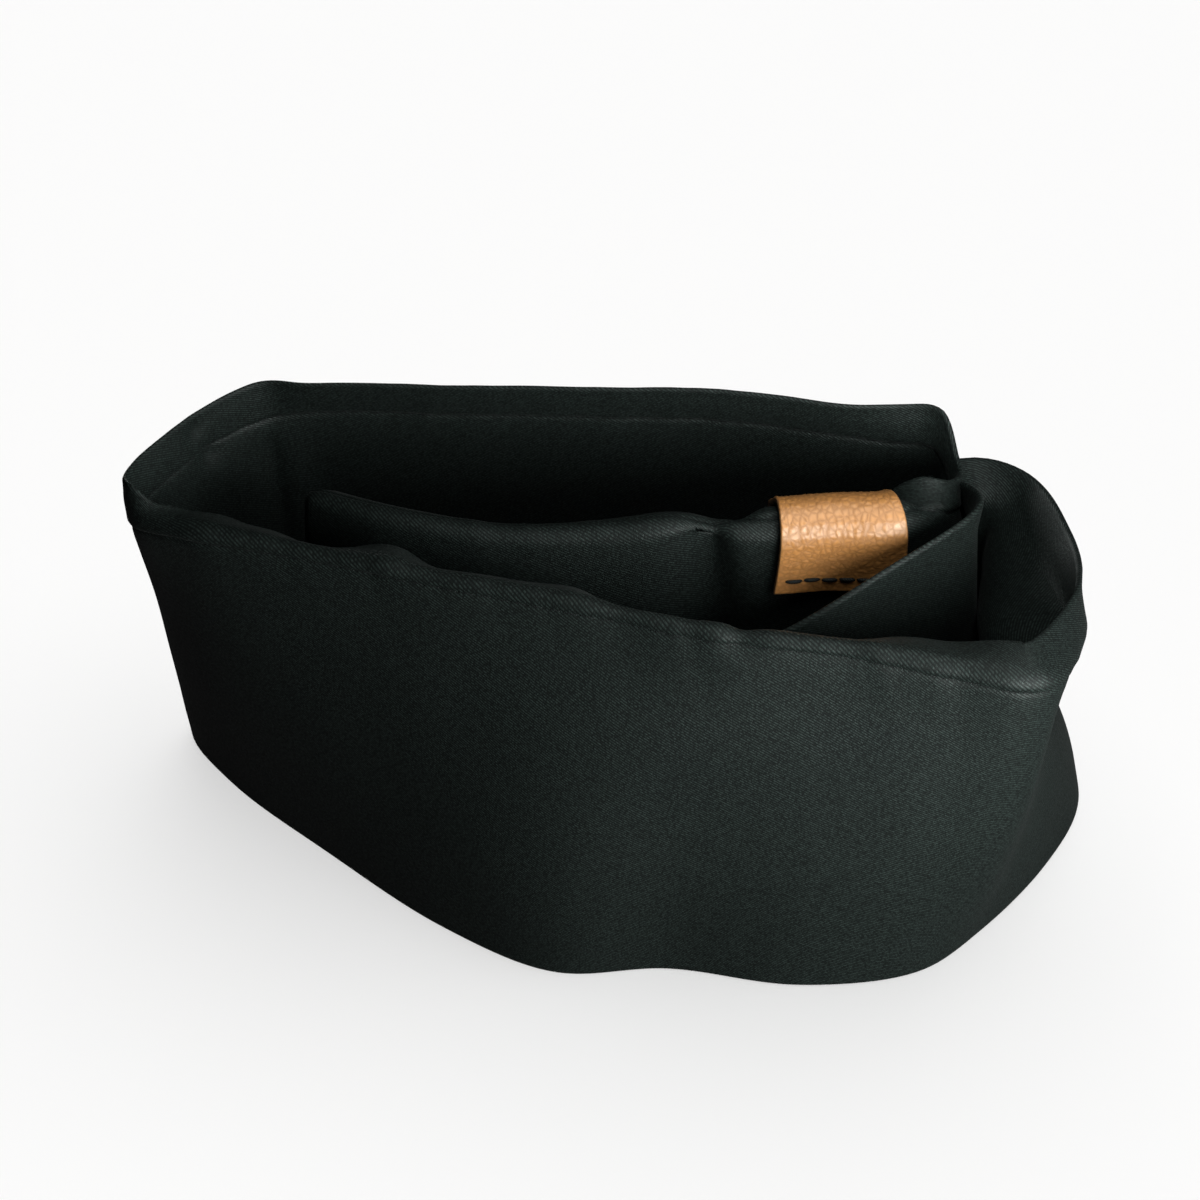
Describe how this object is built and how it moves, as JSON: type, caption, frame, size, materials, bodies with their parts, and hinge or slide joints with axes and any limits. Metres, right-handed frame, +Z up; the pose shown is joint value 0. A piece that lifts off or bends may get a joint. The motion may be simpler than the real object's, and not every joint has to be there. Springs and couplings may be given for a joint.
{
  "type": "wire headband",
  "caption": "Wide satin headband with a stitched wire channel along its top edge and a folded leather tag, wound into a loose flat coil that stands on its plain edge.",
  "frame": {"origin": "middle of the coil's bounding box, on the surface that the band's lower edge stands on", "axes": "+X along the coil, +Y from its front turn to its back turn, +Z up towards the wire channel"},
  "size_m": [0.1728, 0.0834, 0.0832],
  "materials": {
    "black_satin": "satin twill",
    "tan_leather": "pebbled grain"
  },
  "bodies": {
    "root": {"satin_band": "black_satin", "leather_tag": "tan_leather"}
  },
  "joints": []
}
